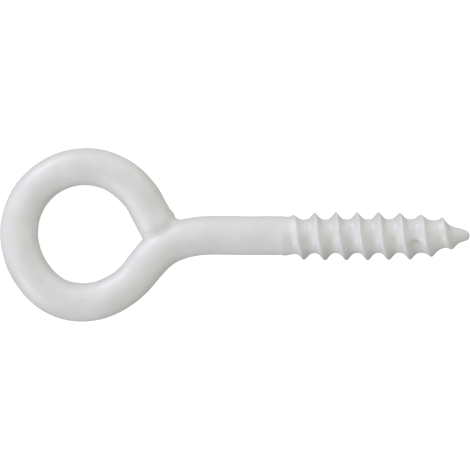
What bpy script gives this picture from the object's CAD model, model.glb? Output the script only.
import math

import bpy
import numpy as np
from mathutils import Euler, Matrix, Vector


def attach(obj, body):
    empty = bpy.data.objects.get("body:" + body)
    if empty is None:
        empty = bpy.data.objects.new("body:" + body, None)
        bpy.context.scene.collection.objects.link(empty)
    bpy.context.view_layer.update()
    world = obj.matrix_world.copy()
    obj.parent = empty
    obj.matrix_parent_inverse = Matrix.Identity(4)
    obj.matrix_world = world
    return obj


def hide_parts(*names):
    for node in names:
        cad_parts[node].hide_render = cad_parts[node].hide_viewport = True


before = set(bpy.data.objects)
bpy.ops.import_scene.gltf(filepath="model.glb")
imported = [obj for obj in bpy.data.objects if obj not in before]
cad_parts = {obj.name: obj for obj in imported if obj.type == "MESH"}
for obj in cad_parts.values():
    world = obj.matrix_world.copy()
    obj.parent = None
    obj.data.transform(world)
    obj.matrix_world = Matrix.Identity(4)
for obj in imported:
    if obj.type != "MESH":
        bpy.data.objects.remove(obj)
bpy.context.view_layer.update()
scene = bpy.context.scene
mm = 0.001

# Camera
# The photograph looks down on the screw eye, which fills the square frame from edge to edge. A long lens
# stands high over the middle of that frame, leaning a little towards the tip, as the crests' lines show.
frame_width = 48.48 * mm
frame_middle = (15.33 * mm, 0.05 * mm)
lean, roll = 4, 0.25
aim = Euler((0, math.radians(lean), math.radians(roll)))
lens = bpy.data.cameras.new("camera")
lens.lens = 1000
lens.sensor_width = 36
camera = bpy.data.objects.new("camera", lens)
away = frame_width * lens.lens / lens.sensor_width
camera.location = Vector((*frame_middle, 0)) + aim.to_matrix() @ Vector((0, 0, away))
camera.rotation_euler = aim
scene.collection.objects.link(camera)
scene.camera = camera

# Screw eye
# One length of steel wire, here in millimetres, with a coarse thread and a point at one end and bent round
# into an eye at the other, where its sawn end is pressed against the neck. The whole was then dipped, so
# that one white coat, a little uneven, runs over the wire, the seam at the neck and the thread.
wire_r = 1.975
end_heading = 119
end_inside, end_straight = 0.9, 3.73
bend_r = {"upper": 6.725, "back": 7.025, "lower": 6.225, "heel": 5.4, "neck": 10.0}
bend_turn = {"upper": 66, "back": 170, "lower": 55, "heel": -28, "neck": -22}
lower_straight = 3.308
shank_l, thread_l, pitch = 7.4, 19.5, 2.2
tip_x, tip_r = 39.585, 0.4


def arc(bend):
    """Length of a bend along the middle of the wire: its radius times its turn."""
    return bend_r[bend] * math.radians(abs(bend_turn[bend]))


lengths = [end_inside + end_straight, arc("upper"), arc("back"), arc("lower"), lower_straight,
           arc("heel"), arc("neck"), shank_l + thread_l]
turns = [0, bend_turn["upper"], bend_turn["back"], bend_turn["lower"], 0,
         bend_turn["heel"], bend_turn["neck"], 0]
knots = np.concatenate([[0], np.cumsum(lengths)])
s_upper, s_lower, s_heel, s_shank, s_tip = knots[[1, 4, 5, 7, 8]]
s_thread = s_tip - thread_l

# How the real eye strays from even arcs of even wire: the angle about its centre, how far the wire lies
# outwards of its arc there, and how much its radius with the coat is off the plain one. The shifts outwards
# grow over a short stretch after the sawn end, and die out over another before the heel.
strays = np.array([
    [-170, -0.063, -0.002], [-142, -0.07, 0.015], [-126, 0.04, 0.005], [-111, 0.10, 0.02], [-84, -0.10, 0.01],
    [-64, -0.17, -0.04], [-40, 0.05, -0.07], [-22, -0.05, 0.0], [33, 0.04, -0.025], [44, -0.045, -0.01],
    [75, -0.02, -0.03], [105, 0.06, -0.07], [130, 0.06, -0.08], [148, 0.075, -0.045], [170, 0.005, -0.023],
])
grow_over, die_over = 2.5, 1.5
coat_on_shank = 0.03
# The thread is rolled a little below the shank's middle, and from there climbs by half a degree
sag, sag_over, climb = 0.085, 2.0, 0.0085
# The stretch that headings and strays are averaged over, and the step along the middle line
soften, fine = 1.2, 0.01


def soft_step(t):
    """Rise from 0 to 1 as t does, level at both ends: three times the square of t less twice its cube."""
    t = np.clip(t, 0, 1)
    return t * t * (3 - 2 * t)


def averaged(v):
    """Mean of an array over the short stretch about each place on the middle line."""
    window = int(soften / fine) | 1
    return np.convolve(np.pad(v, window // 2, mode="edge"), np.ones(window) / window, mode="valid")


def middle_line():
    """Middle of the wire as arrays of distance, place, heading and swell, from inside the neck to the tip.

    The heading turns evenly along each bend and is averaged over a short stretch, so that one bend runs
    softly into the next. Summing the steps along it gives the line, which is then moved until the screw
    lies on its axis. The strays, straight from each angle to the next and averaged as the heading is, push
    the eye in or out. The thread's sag comes in as a soft step, while its rings stay square to the screw's
    axis.
    """
    s = np.arange(0, s_tip + fine, fine)
    turned = np.interp(s, knots, np.concatenate([[0], np.cumsum(turns)]))
    heading = averaged(np.radians(end_heading + turned))
    x, y = np.cumsum(np.cos(heading)) * fine, np.cumsum(np.sin(heading)) * fine
    x, y = x - x[-1] + tip_x, y - y[-1]
    angle = np.degrees(np.arctan2(y, x))
    on_eye = np.clip((s - end_inside) / grow_over, 0, 1) * np.clip((s_heel - s) / die_over, 0, 1)
    out = averaged(np.interp(angle, strays[:, 0], strays[:, 1], period=360) * on_eye)
    eye_swell = np.interp(angle, strays[:, 0], strays[:, 2], period=360)
    swell = averaged(np.where(s < s_heel, eye_swell, coat_on_shank))
    far = np.hypot(x, y)
    x, y = x + out * x / far, y + out * y / far
    heading = np.unwrap(np.arctan2(np.gradient(y), np.gradient(x)))
    screw = np.maximum(s - s_thread, 0)
    y = y + (climb * screw - sag) * soft_step(screw / sag_over)
    return s, x, y, heading, swell


line_s, line_x, line_y, line_heading, line_swell = middle_line()

# Rows of the skin: out over the sawn end, which is hidden in the neck and drawn in there, then along the
# wire, close together about the seam and in the thread and wider elsewhere, and last round the point
drawn_in = 0.4
columns, turn_rows = 96, 44
past_strand, before_neck, past_neck = 1.5, 1, 0.5
row_from = [0, s_upper + past_strand, s_lower - before_neck, s_shank + past_neck, s_thread, s_tip - tip_r]
row_step = [0.06, 0.17, 0.07, 0.18, pitch / turn_rows]
end_rows = np.linspace(0.1, 0.9, 4) * (wire_r - drawn_in)
wire_rows = np.concatenate([np.arange(*stretch) for stretch in zip(row_from, row_from[1:], row_step)])
point_rows = s_tip - tip_r * (1 - np.sin(np.radians(np.linspace(0, 88, 9))))
row_s = np.concatenate([0 * end_rows, wire_rows, point_rows])
row_r = np.concatenate([end_rows, np.full(len(wire_rows) + len(point_rows), wire_r)])

# The thread, whose crest runs along the first column: the columns turn with it. Its core narrows over the
# relief to the root, and the corner where it then meets the cone of the point is taken off.
thread_start = 152
root_r = 1.75
relief_l, point_l = 2.4, 4.1
corner_off, corner_over = 0.06, 0.12
# The crest's height over the core at each half turn, and how far it is rounded off there, as the outline
# shows. It rises out of the plain shank to the first of them and runs out after the last.
first_crest, crest_end = 1.22, 18.6
crest_h = [0.34, 0.66, 0.73, 0.74, 0.77, 0.74, 0.76, 0.74, 0.77, 0.71, 0.67, 0.70, 0.47, 0.52, 0.58, 0.43]
crest_soft = [0.08, 0.05, 0.05, 0.075, 0.05, 0.06, 0.05, 0.065,
              0.05, 0.09, 0.06, 0.085, 0.095, 0.05, 0.045, 0.09]
crest_x = first_crest + pitch / 2 * np.arange(len(crest_h))
# How far a crest's flanks reach, in turns, how hollow they are, and how much rounder it is above and below
flank, hollow, rounder = 0.47, 2.2, 0.015
# Long shallow waves in the coat: height, length along the wire, times about it, and angle at the start
waves = [(0.007, 6.1, 1, 0.3), (0.006, 3.7, -2, 1.9), (0.004, 2.3, 3, 4.0), (0.004, 1.7, -1, 0.0)]


def thread_radius(x, u, up, plain_r):
    """Radius of the thread at a distance x from the plain shank, a share u of a turn from its crest.

    The core narrows in a soft step to the root, runs straight, comes to a cone and ends in a blunt round,
    and a bell is taken off where the cone begins. The crest's height goes straight from each half turn to
    the next. The hollow between two crests is a power of what is left of the flank at that distance from
    the crest, and the distance is softened at the crest by the root of the sum of squares, a little more
    where the spoke points up or down.
    """
    relief = plain_r + (root_r - plain_r) * soft_step(x / relief_l)
    left = thread_l - x
    cone = tip_r + (root_r - tip_r) * left / point_l
    nose = np.clip(left / tip_r, 0, 1)
    corner = corner_off * np.exp(-((relief - cone) / corner_over) ** 2)
    core = (np.minimum(relief, cone) - corner) * np.sqrt(1 - (1 - nose) ** 3)
    height = np.interp(x, [0, *crest_x, crest_end], [0, *crest_h, 0])
    soft = np.interp(x, crest_x, crest_soft)
    from_crest = np.sqrt(np.minimum(u, 1 - u) ** 2 + (soft + rounder * up ** 2) ** 2)
    return core + height * (np.clip(flank - from_crest, 0, 1) / (flank - soft)) ** hollow


def swept_skin():
    """Skin of the wire as rows by columns of points, and the place on the middle line each one stands round.

    Each row is a ring about a place on the middle line, square to it: cosine of the angle across, sine
    upwards, times the radius there. The waves are sines of distance and angle, and die out where the wire
    is thin.
    """
    s, j = np.meshgrid(row_s, np.arange(columns), indexing="ij")
    screw = np.maximum(s - s_thread, 0)
    angle = np.radians(thread_start) + 2 * np.pi * (j / columns + screw / pitch)
    radius = row_r[:, None] + np.interp(s, line_s, line_swell)
    threaded = thread_radius(screw, j / columns, np.sin(angle), wire_r + coat_on_shank)
    radius = np.where(s >= s_thread, threaded, radius)
    wave = sum(wave_h * np.sin(2 * np.pi * s / wave_l + times * angle + begin)
               for wave_h, wave_l, times, begin in waves)
    radius = radius + wave * np.clip(radius / wire_r, 0, 1) ** 2
    turn = np.interp(s, line_s, line_heading)
    spoke = np.stack([-np.cos(angle) * np.sin(turn), np.cos(angle) * np.cos(turn), np.sin(angle)], axis=-1)
    middle = np.stack([np.interp(s, line_s, line_x), np.interp(s, line_s, line_y), 0 * s], axis=-1)
    return middle + radius[..., None] * spoke, middle


skin, middle = swept_skin()

# The seam at the neck: the sawn end is pressed against the outside of the heel, and the coat has gathered
# in the groove above and below, where the two rounds part, and a little in the outer corner. The inner
# corner is bare.
strand_thin, neck_coat = 0.025, 0.02
strand_r, neck_r = wire_r - strand_thin, wire_r + neck_coat
end_bite = 0.5
edge_side, edge_groove, edge_up = 0.25, 1.6, 0.7
fill_inner, fill_outer, fill_groove = 0.15, 0.7, 0.6
# The heights where the groove's fill begins and ends, and the stretch each takes, over the wire's radius
groove_from, groove_in, groove_to, groove_out = 0.2, 0.45, 1.02, 0.35
end_point = np.array([np.interp(end_inside, line_s, line_x), np.interp(end_inside, line_s, line_y), 0])
end_way = np.array([math.cos(line_heading[0]), math.sin(line_heading[0]), 0])
inwards = np.array([-end_way[1], end_way[0], 0])
# The neck's middle line, as every sixth of its points from before the heel to the shank
line_before, line_past, line_every = 1.5, 2, 6
near = (line_s > s_lower - line_before) & (line_s < s_shank + line_past)
neck_line = np.stack([line_x[near], line_y[near]], axis=-1)[::line_every]
# The search along a spoke, from the skin's own radius: from, to, step and how often that step is halved
search_from, search_to, search_step, halvings = -0.75, 0.6, 0.05, 7
# How far a skin sinks beyond the crease and over what distance, and over what the waves die out before it
sink, sink_over, calm_over = 0.1, 0.6, 1.2


def off_strand(p):
    """Distance of points from the sawn end's skin: a round bar that starts at its flat end.

    The end's edge is rounded, little at the sides and more above and below.
    """
    along = (p - end_point) @ end_way
    aside = np.linalg.norm(p - end_point - along[:, None] * end_way, axis=1)
    edge = edge_side + (edge_groove - edge_side) * soft_step(np.abs(p[:, 2]) / wire_r / edge_up)
    over, short = aside - (strand_r - edge), edge - along - end_bite
    outside = np.hypot(np.maximum(over, 0), np.maximum(short, 0))
    return outside + np.minimum(np.maximum(over, short), 0) - edge


def off_neck(p):
    """Distance of points from the neck's skin: to the nearest place on the middle line, less the radius."""
    level = ((p[:, None, :2] - neck_line[None]) ** 2).sum(-1).min(1)
    return np.sqrt(level + p[:, 2] ** 2) - neck_r


def off_both(p):
    """Distance from the two together: a soft least of the two distances, which fills the corner between them.

    The width it is softened over goes from the outer corner's to the inner one's as a soft step, grows up
    to the groove as another, and dies out again towards the top, so that the coat never stands over the
    wire.
    """
    a, b = off_strand(p), off_neck(p)
    up = np.abs(p[:, 2]) / wire_r
    across = soft_step(0.5 + (p - end_point) @ inwards / (2 * wire_r))
    side = fill_outer + (fill_inner - fill_outer) * across
    groove = soft_step((up - groove_from) / groove_in) * soft_step((groove_to - up) / groove_out)
    fill = side + (fill_groove - side) * groove
    corner = np.maximum(fill - np.abs(a - b), 0)
    return np.minimum(a, b) - corner ** 2 / (4 * fill)


def onto_fill(p, foot, own_r, off_own, off_other):
    """Points moved along their spokes, from the middle line at foot, to where these first leave the fill.

    A coarse search outwards and then halving finds that place. The coat's waves die out towards the crease,
    beyond which the skin sinks a little, so that the other one shows there. Points whose spoke runs on
    inside the other are drawn in.
    """
    spoke = p - foot
    r = np.linalg.norm(spoke, axis=1)
    spoke = spoke / r[:, None]
    inner, outer = np.full(len(p), own_r + search_from - search_step), np.full(len(p), np.inf)
    for reach in np.arange(own_r + search_from, own_r + search_to, search_step):
        out = off_both(foot + reach * spoke) > 0
        open_yet = np.isinf(outer)
        outer[open_yet & out] = reach
        inner[open_yet & ~out] = reach
    hidden = np.isinf(outer)
    outer[hidden] = own_r
    for _ in range(halvings):
        half = (inner + outer) / 2
        out = off_both(foot + half[:, None] * spoke) > 0
        inner, outer = np.where(out, inner, half), np.where(out, half, outer)
    place = foot + outer[:, None] * spoke
    beyond = off_own(place) - off_other(place)
    moved = np.where(hidden, own_r - drawn_in, outer - sink * soft_step(beyond / sink_over))
    moved += (r - own_r) * soft_step(-beyond / calm_over)
    return foot + moved[:, None] * spoke


seam_on_strand, seam_past_neck = 5.5, 1.5
strand_rows = (np.arange(len(row_s)) >= len(end_rows)) & (row_s < seam_on_strand)
neck_rows = (row_s > s_lower - before_neck) & (row_s < s_shank + seam_past_neck)
for seam_rows, own_r, off_own, off_other in ((strand_rows, strand_r, off_strand, off_neck),
                                             (neck_rows, neck_r, off_neck, off_strand)):
    points, feet = skin[seam_rows].reshape(-1, 3), middle[seam_rows].reshape(-1, 3)
    close = off_other(points) < edge_groove
    points[close] = onto_fill(points[close], feet[close], own_r, off_own, off_other)
    skin[seam_rows] = points.reshape(skin[seam_rows].shape)

# Marks of use and making, each at its place seen from above: the burr on the sawn end, up to a distance
# along it, the nib on the point, the pit with its half length and half width, its lip and its grey rim with
# their place and width as shares of those, the wear of the tip and the specks
burr, burr_r, burr_h, burr_to = np.array([8.95, 2.25]), 0.45, 0.2, 4.9
nib, nib_r, nib_h = np.array([38.83, 0.6]), 0.3, 0.07
pit, pit_half, pit_depth, pit_grey = np.array([34.03, -1.01]), np.array([0.83, 0.64]), 0.08, 0.14
lip_at, lip_w, lip_h = 1.2, 0.12, 0.02
rim_at, rim_w, rim_grey = 0.87, 0.16, 0.5
worn_l, worn_grey = 2.0, 0.15
# Each speck's place, its radius and how grey it is
specks = [(27.34, 0.80, 0.12, 0.5), (26.21, 0.36, 0.10, 0.6), (31.83, -0.30, 0.13, 0.3),
          (7.16, 4.56, 0.10, 0.35), (7.80, 2.88, 0.10, 0.3), (-0.3, -6.80, 0.12, 0.3),
          (2.2, -6.80, 0.12, 0.3)]


def coat_marks(p):
    """Skin with the burr and the nib raised and the pit sunk, and how grey each point is, from 0 to 1.

    The burr is a bell about its place, and so is the nib, where the point was nipped off. The pit is a
    bowl, one less the eighth power of the distance over its half size, deepest along its upper edge and
    running out below. Its lip stands up a little on the right, and it is greyest along its upper edge. The
    coat is worn a little grey towards the tip. Each speck greys a small round patch of the top.
    """
    top = p[..., 2] > 0
    from_burr = ((p[..., :2] - burr) ** 2).sum(-1) + p[..., 2] ** 2
    lift = burr_h * np.exp(-from_burr / burr_r ** 2) * (row_s < burr_to)[:, None]
    p[..., :2] -= lift[..., None] * inwards[:2]
    p[..., 1] += nib_h * np.exp(-((p[..., :2] - nib) ** 2).sum(-1) / nib_r ** 2)
    off_x, off_y = np.moveaxis((p[..., :2] - pit) / pit_half, -1, 0)
    off = np.hypot(off_x, off_y)
    bowl = np.clip(1 - off ** 8, 0, 1) * np.clip(0.55 + 0.45 * off_y, 0, 1) * top
    lip = np.exp(-((off - lip_at) / lip_w) ** 2) * np.clip(off_x, 0, 1) * top
    p[..., 2] += lip_h * lip - pit_depth * bowl
    rim = np.exp(-((off - rim_at) / rim_w) ** 2) * soft_step(0.2 + 0.75 * off_y + 0.25 * off_x)
    shade = pit_grey * np.clip(0.8 + 0.6 * off_y, 0, 1) + rim_grey * rim
    grey = np.clip(1 - off ** 10, 0, 1) * shade * top
    grey = np.maximum(grey, worn_grey * np.exp(-((p[..., 0] - tip_x) / worn_l) ** 2))
    for x, y, r, share in specks:
        patch = ((p[..., 0] - x) ** 2 + (p[..., 1] - y) ** 2) / r ** 2
        grey = np.maximum(grey, share * np.exp(-patch) * top)
    return p, grey


skin, grey = coat_marks(skin)


def ring_faces(rings, spokes):
    """Faces from each ring of points to the next, all round, as rows of four places in the list of points."""
    a = np.arange(rings - 1)[:, None] * spokes + np.arange(spokes)
    b = np.arange(rings - 1)[:, None] * spokes + np.roll(np.arange(spokes), -1)
    return np.stack([b, b + spokes, a + spokes, a], axis=-1).reshape(-1, 4)


# The mesh: the rings of the skin, with the thread's faces split along their short diagonals, closed by a
# fan at the middle of the sawn end and another at the point
rows = len(row_s)
sides = ring_faces(rows, columns)
first_ring = np.arange(columns)
last_ring = (rows - 1) * columns + first_ring
end_middle, point_middle = rows * columns, rows * columns + 1
end_fan = np.stack([np.full(columns, end_middle), np.roll(first_ring, -1), first_ring], axis=-1)
point_fan = np.stack([np.full(columns, point_middle), last_ring, np.roll(last_ring, -1)], axis=-1)
points = np.concatenate([skin.reshape(-1, 3), [end_point, [tip_x, 0, 0]]]) * mm

coated = bpy.data.meshes.new("coated_screw_eye")
coated.from_pydata(points.tolist(), [], sides.tolist() + end_fan.tolist() + point_fan.tolist())
coated.polygons.foreach_set("use_smooth", np.ones(len(coated.polygons), dtype=bool))
marks = coated.attributes.new("coat_marks", "FLOAT", "POINT")
marks.data.foreach_set("value", np.concatenate([grey.ravel(), [0, 0]]).astype(np.float32))
coated.validate()
coated.update()

# The coat: a dipped off-white plastic, half glossy, very slightly mottled and with a fine orange peel
coat = bpy.data.materials.new("white_coat")
coat.use_nodes = True
nodes, wires = coat.node_tree.nodes, coat.node_tree.links
shader = nodes["Principled BSDF"]
shader.inputs["IOR"].default_value = 1.5
place = nodes.new("ShaderNodeTexCoord")


def speckle(scale, detail, low, high):
    """Noise of a given scale over the piece, spread from a low to a high value."""
    noise = nodes.new("ShaderNodeTexNoise")
    noise.inputs["Scale"].default_value = scale
    noise.inputs["Detail"].default_value = detail
    wires.new(place.outputs["Object"], noise.inputs["Vector"])
    spread = nodes.new("ShaderNodeMapRange")
    spread.inputs["From Min"].default_value = 0.3
    spread.inputs["From Max"].default_value = 0.7
    spread.inputs["To Min"].default_value = low
    spread.inputs["To Max"].default_value = high
    wires.new(noise.outputs["Fac"], spread.inputs["Value"])
    return spread.outputs["Result"]


mottle = nodes.new("ShaderNodeMix")
mottle.data_type = "RGBA"
mottle.inputs["A"].default_value = (0.585, 0.588, 0.580, 1)
mottle.inputs["B"].default_value = (0.635, 0.637, 0.637, 1)
wires.new(speckle(420, 3, 0, 1), mottle.inputs["Factor"])
stain = nodes.new("ShaderNodeMix")
stain.data_type = "RGBA"
stain.inputs["B"].default_value = (0.30, 0.28, 0.26, 1)
marked = nodes.new("ShaderNodeAttribute")
marked.attribute_name = "coat_marks"
wires.new(marked.outputs["Fac"], stain.inputs["Factor"])
wires.new(mottle.outputs["Result"], stain.inputs["A"])
wires.new(stain.outputs["Result"], shader.inputs["Base Color"])
wires.new(speckle(900, 2, 0.34, 0.46), shader.inputs["Roughness"])
peel = nodes.new("ShaderNodeBump")
peel.inputs["Strength"].default_value = 0.25
peel.inputs["Distance"].default_value = 0.02 * mm
wires.new(speckle(2600, 2, 0, 1), peel.inputs["Height"])
wires.new(peel.outputs["Normal"], shader.inputs["Normal"])
coated.materials.append(coat)

screw_eye = bpy.data.objects.new("coated_screw_eye", coated)
scene.collection.objects.link(screw_eye)
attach(screw_eye, "root")
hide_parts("screw_eye")

# Floor
# A sheet of white card that the screw eye lies on, swept up far away all round. The thread is thicker than
# the wire of the eye, so the card passes under the eye's far side and under the thread's middle.
low_eye, low_crest = (-7.0 * mm, -2.0 * mm), (24.0 * mm, -2.42 * mm)
flat_r, card_r, card_rise = 1.7, 3.0, 0.5
card_rings, card_spokes = 24, 64


def swept_card():
    """Card as rings about the screw eye: flat to a distance, then rising as the square of what is beyond."""
    out = np.concatenate([[0.001], np.linspace(0.05, 1, card_rings)]) * card_r
    around = np.linspace(0, 2 * np.pi, card_spokes, endpoint=False)
    r, t = np.meshgrid(out, around, indexing="ij")
    x, y = frame_middle[0] + r * np.cos(t), r * np.sin(t)
    slope = (low_crest[1] - low_eye[1]) / (low_crest[0] - low_eye[0])
    z = low_eye[1] + slope * (x - low_eye[0]) + card_rise * np.maximum(r - flat_r, 0) ** 2
    return np.stack([x, y, z], axis=-1)


card_points = swept_card().reshape(-1, 3)
card_faces = ring_faces(card_rings + 1, card_spokes)[:, ::-1].tolist() + [list(range(card_spokes))]
card_mesh = bpy.data.meshes.new("floor_card")
card_mesh.from_pydata(card_points.tolist(), [], card_faces)
card_mesh.polygons.foreach_set("use_smooth", np.ones(len(card_mesh.polygons), dtype=bool))
paper = bpy.data.materials.new("white_card")
paper.use_nodes = True
paper_shader = paper.node_tree.nodes["Principled BSDF"]
paper_shader.inputs["Base Color"].default_value = (0.85, 0.85, 0.85, 1)
paper_shader.inputs["Roughness"].default_value = 0.9
paper_shader.inputs["Specular IOR Level"].default_value = 0.1
paper_shader.inputs["Emission Color"].default_value = (1, 1, 1, 1)
paper_shader.inputs["Emission Strength"].default_value = 0.62
card_mesh.materials.append(paper)
floor = bpy.data.objects.new("floor_card", card_mesh)
scene.collection.objects.link(floor)
floor.visible_diffuse = False
floor.visible_glossy = False

# Light
# A light tent that glows evenly from above and, at less than half the strength, back up from its floor. Two
# cool lamps shine through it on the left, and two weaker panels on the right.
scene.view_settings.view_transform = "Standard"
tent = bpy.data.worlds.new("tent")
tent.use_nodes = True
tent_nodes, tent_wires = tent.node_tree.nodes, tent.node_tree.links
glow = tent_nodes["Background"]
glow.inputs["Color"].default_value = (1.0, 1.0, 0.94, 1)
looking = tent_nodes.new("ShaderNodeTexCoord")
height = tent_nodes.new("ShaderNodeSeparateXYZ")
by_height = tent_nodes.new("ShaderNodeMapRange")
by_height.inputs["From Min"].default_value = -0.1
by_height.inputs["From Max"].default_value = 0.1
by_height.inputs["To Min"].default_value = 0.341
by_height.inputs["To Max"].default_value = 0.771
tent_wires.new(looking.outputs["Generated"], height.inputs["Vector"])
tent_wires.new(height.outputs["Z"], by_height.inputs["Value"])
tent_wires.new(by_height.outputs["Result"], glow.inputs["Strength"])
scene.world = tent

panel_away = 0.6
cool, plain = (0.842, 0.853, 1.0), (1.0, 1.0, 1.0)


def soft_panel(name, azimuth, lift, size, power, tint):
    """A rectangular light at an azimuth and a lift in degrees about the frame's middle, facing it."""
    light = bpy.data.lights.new(name, "AREA")
    light.shape = "RECTANGLE"
    light.size, light.size_y = size
    light.energy = power
    light.color = tint
    panel = bpy.data.objects.new(name, light)
    turn, lift = math.radians(azimuth), math.radians(lift)
    way = Vector((math.cos(turn) * math.cos(lift), math.sin(turn) * math.cos(lift), math.sin(lift)))
    panel.location = Vector((*frame_middle, 0)) + panel_away * way
    panel.rotation_euler = way.to_track_quat("Z", "Y").to_euler()
    scene.collection.objects.link(panel)


soft_panel("upper_left_lamp", 128, 16, (0.25, 0.30), 1.745, cool)
soft_panel("lower_left_lamp", -142, 24, (0.16, 0.45), 1.475, cool)
soft_panel("right_panel", 30, 20, (0.45, 0.40), 0.40, plain)
soft_panel("upper_right_panel", 60, 20, (0.45, 0.40), 0.42, plain)
